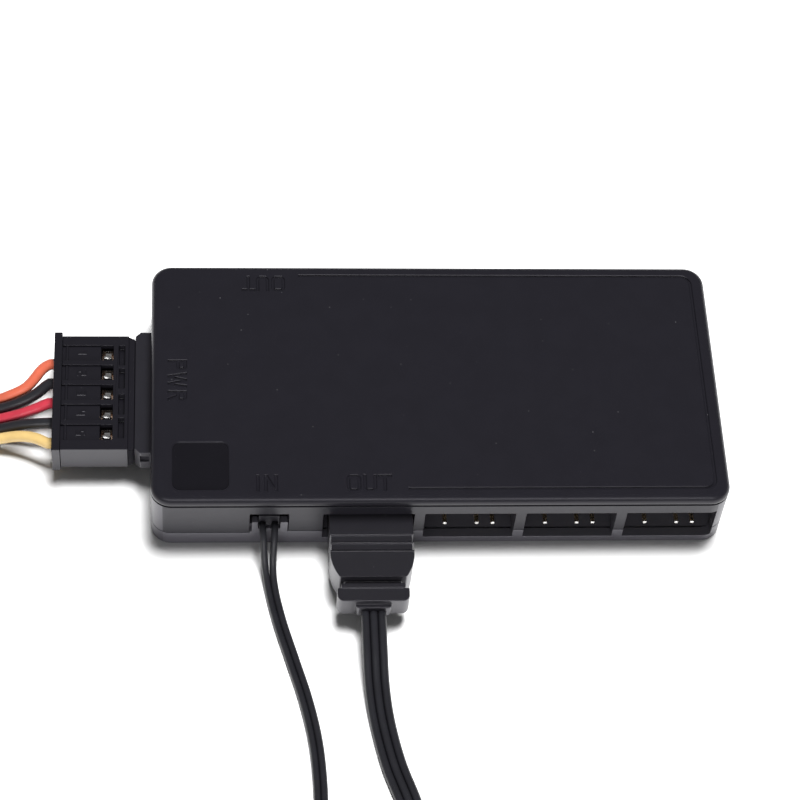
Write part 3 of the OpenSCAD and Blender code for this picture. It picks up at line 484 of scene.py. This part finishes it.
def contact_tips():
    """Forked insulation-displacement contacts seen in the plug windows: a bright rounded lip in front, a thin lip
    behind and the sheet metal between them, painted darker and brownish lower down as shade of the window."""
    verts, faces, round_faces = [], [], set()

    def add(v, f):
        n0 = len(verts)
        verts.extend(v)
        faces.extend(tuple(i + n0 for i in q) for q in f)

    def block(x0, x1, y0, y1, z0, z1, slope=0.0):
        add([(x0, y0, z0), (x1, y0, z0), (x1, y1, z0), (x0, y1, z0), (x0, y0, z1), (x1, y0, z1), (x1, y1, z1 + slope), (x0, y1, z1 + slope)],
            [(0, 3, 2, 1), (4, 5, 6, 7), (0, 1, 5, 4), (1, 2, 6, 5), (2, 3, 7, 6), (3, 0, 4, 7)])

    for c in CELL_Y:
        x = FLANGE_X + 8.62
        # rounded lip, drop shaped, its face turned to the front
        nu, nv = 28, 14
        v = []
        for i in range(1, nv):
            t = math.pi * i / nv
            for k in range(nu):
                u = 2 * math.pi * k / nu
                px = 0.76 * math.cos(u) * math.sin(t)
                along = 0.46 * math.sin(u) * math.sin(t) * (1 - 0.25 * math.cos(u))
                thick = 0.20 * math.cos(t)
                a = math.radians(40)
                py, pz = along * math.cos(a) - thick * math.sin(a), along * math.sin(a) + thick * math.cos(a)
                v.append((x - 0.02 + px, c - 0.52 + py - 0.12 * px, 7.28 + pz))
        f = [(i * nu + k, (i + 1) * nu + k, (i + 1) * nu + (k + 1) % nu, i * nu + (k + 1) % nu) for i in range(nv - 2) for k in range(nu)]
        f += [tuple(range(nu)), tuple((nv - 2) * nu + k for k in reversed(range(nu)))]
        round_faces.update(range(len(faces), len(faces) + len(f)))
        add(v, f)
        block(x - 0.85, x + 0.85, c + 0.72, c + 1.02, 6.2, 7.55, -0.28)
        block(x - 0.9, x + 0.9, c - 1.2, c + 1.2, 6.05, 6.3)
        block(x - 0.35, x + 0.55, c - 0.1, c + 0.45, 6.25, 7.05, 0.2)
    o = new_piece("power_contact_tips", verts, faces, "tip", smooth=False)
    me = o.data
    for q in me.polygons:
        q.use_smooth = q.index in round_faces
    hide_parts("power_plug_contacts")
    return o


contact_tips()
refine("top_cover", 0.07, 2, pad=on_pad, marks=(on_mark, 0.10), inner=inside)
refine("bottom_shell", 0.08, inner=inside)
refine("power_plug_housing", 0.10)
refine("power_plug_cap", 0.08)
refine("power_header", 0.14)
refine("output_plug", 0.16, 3)
refine("signal_plug", 0.10)
refine("signal_end_plug", 0.18, 3)
refine("output_end_plug", 0.25, 3)
refine("power_end_housing", 0.16)
refine("power_end_cap", 0.16)
refine("power_lead_tie", 0.3, 3)
refine("cover_screws", 0.10)
for k in range(1, 5):
    refine("front_header_%d" % k, 0.09)
for k in range(1, 6):
    refine("back_header_%d" % k, 0.09)
refine("front_pins", 0.15, 3)
refine("back_pins", 0.15, 3)
refine("output_end_pins", 0.15, 3)


# ------------------------------------------------------------------ cords
WIRE_D, WP = 1.8, 1.9
HANK_X, HANK_Y, HANK_R, HANK_RUN = -76.0, -1.0, 9.2, 36.0
HX1 = HANK_X - HANK_R
HY1 = HANK_Y - HANK_R
HY2 = HY1 - HANK_RUN
HX2 = HX1 - 2 * HANK_R
HX3 = HX1 - 9.4 - 0.4
HY3 = -8.0
END_Y = 5.0
ROUTES = {
    "orange": [[-62, CELL_Y[0], 4.9], [-63.3, 7.2, 4.9], [-64.5, 5.4, 4.8], [-65.8, 3.9, 4.5], [-68, 3.1, 3.7], [-71.5, 2.8, 2.0], [-75, 2.8, 0.95]],
    "black_a": [[-62, CELL_Y[1], 4.9], [-64, 2.7, 4.6], [-66.5, 1.4, 4.0], [-70, 1.0, 2.6], [-75, 0.9, 0.95]],
    "red": [[-62, CELL_Y[2], 4.9], [-64, -0.3, 4.7], [-66.5, -0.9, 4.0], [-70, -1.0, 2.6], [-75, -1.0, 0.95]],
    "black_b": [[-62, CELL_Y[3], 4.9], [-64, -3.2, 4.7], [-66.5, -3.0, 4.0], [-70, -2.9, 2.6], [-75, -2.9, 0.95]],
    "yellow": [[-62, CELL_Y[4], 4.9], [-64, -6.0, 4.8], [-66.5, -5.2, 4.1], [-70, -4.8, 2.7], [-75, -4.8, 0.95]],
}


def power_route(k, name):
    o = (2 - k) * WP  # sideways place in the ribbon, + is the side of the orange wire
    z = 0.95
    pts = [[FLANGE_X, CELL_Y[k], 4.9]] + ROUTES[name] + [[HANK_X, HANK_Y + o, z]]
    r1 = HANK_R + o
    for a in range(15, 91, 15):
        a = math.radians(90 + a)
        pts.append([HANK_X + r1 * math.cos(a), HY1 + r1 * math.sin(a), z])
    x1 = HX1 - o
    for f in (0.15, 0.3, 0.5, 0.7, 0.85, 1.0):
        pts.append([x1, HY1 - HANK_RUN * f, z])
    r2 = HANK_R - o
    for a in range(-15, -181, -15):
        a = math.radians(a)
        pts.append([HX1 - HANK_R + r2 * math.cos(a), HY2 + r2 * math.sin(a), z])
    x2, x3 = HX2 + o, HX3 + o
    for f in (0.12, 0.3, 0.5, 0.7, 0.88):  # closes up beside the first run
        pts.append([x2 + (x3 - x2) * (0.5 - 0.5 * math.cos(math.pi * f)), HY2 + 17 * f, z])
    for y in (HY2 + 17, -25, -20, -15, -11, HY3):
        pts.append([x3, y, z])
    xe = HX3 + (2 - k) * 3.81
    pts += [[x3 + (xe - x3) * 0.2, HY3 + 3.2, z + 0.05], [x3 + (xe - x3) * 0.62, HY3 + 6.8, z + 0.2], [x3 + (xe - x3) * 0.95, HY3 + 10.2, z + 0.45], [xe, END_Y, z + 0.5]]
    return pts


wires = {}
for k, name in enumerate(("orange", "black_a", "red", "black_b", "yellow")):
    line = smooth_line(power_route(k, name), 0.8)
    v, f = tube_data(line, circle_profile(WIRE_D / 2, 16))
    key = name.split("_")[0]
    o = new_piece("lead_" + name, v, f, key)
    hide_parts("wire_" + name, "power_lead_hank")
    wires[name] = o

FLAT_Z, TAIL_Z = 0.66, 1.97
INC_Z, INC_TAIL = 0.57, 1.70


def spiral(centre, r0, r1, a0, turns, sense, z, per_turn=36):
    out = []
    n = int(turns * per_turn)
    for i in range(n + 1):
        s = i / n
        a = math.radians(a0 + sense * 360 * turns * s)
        r = r0 + (r1 - r0) * s
        out.append([centre[0] + r * math.cos(a), centre[1] + r * math.sin(a), z])
    return out


def flat_cable(name, nodes, pts, cores, pitch, r, spread=None, key="cable"):
    """A flat cable of round cores side by side. spread = (extra, from, to): the cores stand apart near the start."""
    line = even(pts, 0.9)
    s = np.concatenate([[0], np.cumsum(np.linalg.norm(np.diff(line, axis=0), axis=1))])
    verts, faces = [], []
    for c in range(cores):
        base = (c - (cores - 1) / 2) * pitch
        off = []
        for u in s:
            k = 1.0
            if spread is not None:
                f = max(0.0, min(1.0, (spread[2] - u) / (spread[2] - spread[1])))
                k = 1 + spread[0] * f ** 1.15
            off.append((base * k, 0.0))
        v, f = tube_data(line, circle_profile(r, 16), off)
        n0 = len(verts)
        verts += v
        faces += [tuple(i + n0 for i in q) for q in f]
    o = new_piece(name, verts, faces, key)
    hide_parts(*nodes)
    return o, line


# signal lead
SC, SRI, SRO = (-39.1, -91.0), 10.0, 19.1
sig_pts = [[-27.1, -22.25, 5.35], [-27.1, -23.4, 5.35], [-27.1, -25.2, 4.7], [-27.1, -28, 2.3], [-26.7, -31.5, 0.8], [-25.6, -37, INC_Z], [-23.7, -44, INC_Z],
           [-21.8, -51, INC_Z], [-20.5, -58, INC_Z], [-20, -65, INC_Z], [-20, -71, INC_Z], [-20, -78, INC_Z], [-20, -84, INC_Z]]
sig_a = smooth_line(sig_pts + [[-20, -90, INC_Z]], 0.9)
sig_b = np.array(spiral(SC, SRO, SRI, 0, 3.25, -1, INC_Z))
ys = SC[1] - SRI
n = len(sig_b)
for i in range(n):  # the last of the inner turn climbs to cross the others
    left = (n - 1 - i) * (2 * math.pi * SRI / 36)
    if left < 7:
        sig_b[i][2] = INC_Z + (INC_TAIL - INC_Z) * (0.5 - 0.5 * math.cos(math.pi * (1 - left / 7) * 0.62))
sig_c = smooth_line([sig_b[-1], [-41.4, ys, 1.58], [-43.5, ys, INC_TAIL], [-48, ys, INC_TAIL + 0.02], [-53, ys, INC_TAIL + 0.02], [-57.5, ys, INC_TAIL], [-61, ys, 1.38], [-64, ys, 1.3]], 0.9)
sig_line = np.concatenate([sig_a, sig_b[1:], sig_c[1:]])
signal, sig_path = flat_cable("signal_lead", ["signal_cable", "signal_coil", "signal_cable_tail"], sig_line, 2, 1.1, 0.56, spread=(0.76, 0.6, 9.0))

# output lead
OC, ORI, ORO = (18.5, -97.0), 15.0, 24.0
OPX = -11.18
out_pts = [[OPX, -38.0, 4.75], [OPX, -39.5, 4.75], [-11.1, -44, 3.8], [-10.9, -49, 1.9], [-10.3, -54.5, 0.8], [-8.8, -62, FLAT_Z], [-6.6, -69, FLAT_Z],
           [-5.5, -75, FLAT_Z], [-5.5, -80, FLAT_Z], [-5.5, -88, FLAT_Z], [-5.5, -96, FLAT_Z]]
out_a = smooth_line(out_pts, 0.9)
out_b = np.array(spiral(OC, ORO, ORI, 180, 2.25, 1, FLAT_Z))
yo = OC[1] + 0.6
n = len(out_b)
for i in range(n):
    left = (n - 1 - i) * (2 * math.pi * ORI / 36)
    if left < 6:
        out_b[i][2] = FLAT_Z + 0.5 * (1 - left / 6) ** 2
out_c = smooth_line([out_b[-1], [20.5, OC[1] - ORI, 1.35], [24.6, -110.7, 1.75], [27.4, -107.9, 2.1], [28.3, -104.2, 2.4], [27.2, -100.4, 2.7], [24.5, -97.4, 2.88], [20.8, yo, 2.9], [19.5, yo, 2.9]], 0.9)
out_line = np.concatenate([out_a, out_b[1:], out_c[1:]])
output, out_path = flat_cable("output_lead", ["output_cable", "output_coil", "output_cable_tail"], out_line, 3, 1.3, 0.65)

# ------------------------------------------------------------------ stage, light
def make_stage():
    pieces = [o for o in scene.objects if o.type == "MESH"]
    me = bpy.data.meshes.new("floor")
    s = 3.0
    me.from_pydata([(-s, -s, 0), (s, -s, 0), (s, s, 0), (-s, s, 0)], [], [(0, 1, 2, 3)])
    floor = bpy.data.objects.new("floor", me)
    scene.collection.objects.link(floor)
    m = Mat("floor_paper")
    m.color(m.ramp(m.noise(2.0, 2), [(0.3, (0.86, 0.86, 0.86)), (0.7, (0.88, 0.88, 0.88))]))
    m.put(Roughness=0.9, Specular_IOR_Level=0.1)
    me.materials.append(m.m)

    w = bpy.data.worlds.new("world")
    scene.world = w
    w.use_nodes = True
    w.node_tree.nodes["Background"].inputs["Color"].default_value = (1, 1, 1, 1)
    w.node_tree.nodes["Background"].inputs["Strength"].default_value = 0.13

    lit = bpy.data.collections.new("lit")
    for o in pieces:
        lit.objects.link(o)

    def area(name, loc, target, size, watts, size_y=None, glossy=True):
        d = bpy.data.lights.new(name, "AREA")
        d.shape = "RECTANGLE"
        d.size, d.size_y = size, size_y or size
        d.energy = watts
        o = bpy.data.objects.new(name, d)
        scene.collection.objects.link(o)
        o.location = loc
        o.rotation_mode = "QUATERNION"
        o.rotation_quaternion = (Vector(loc) - Vector(target)).to_track_quat("Z", "Y")
        o.visible_glossy = glossy
        return o

    area("overhead", (0.10, 0.24, 1.0), (0, 0, 0), 0.38, 25, glossy=False)
    low = area("low", (-0.15, -1.1, 0.36), (0, 0, 0.0), 0.5, 13.0, 0.2, glossy=False)
    front = area("front", (-0.1, -0.85, 0.75), (0, 0, 0.0), 1.1, 4.4, 0.26)
    for o in (low, front):  # these two fill the object only, so that its shadow on the floor stays soft and dark
        o.light_linking.receiver_collection = lit


make_stage()
scene.view_settings.view_transform = "Standard"
scene.view_settings.look = "None"
scene.view_settings.exposure = 0.0
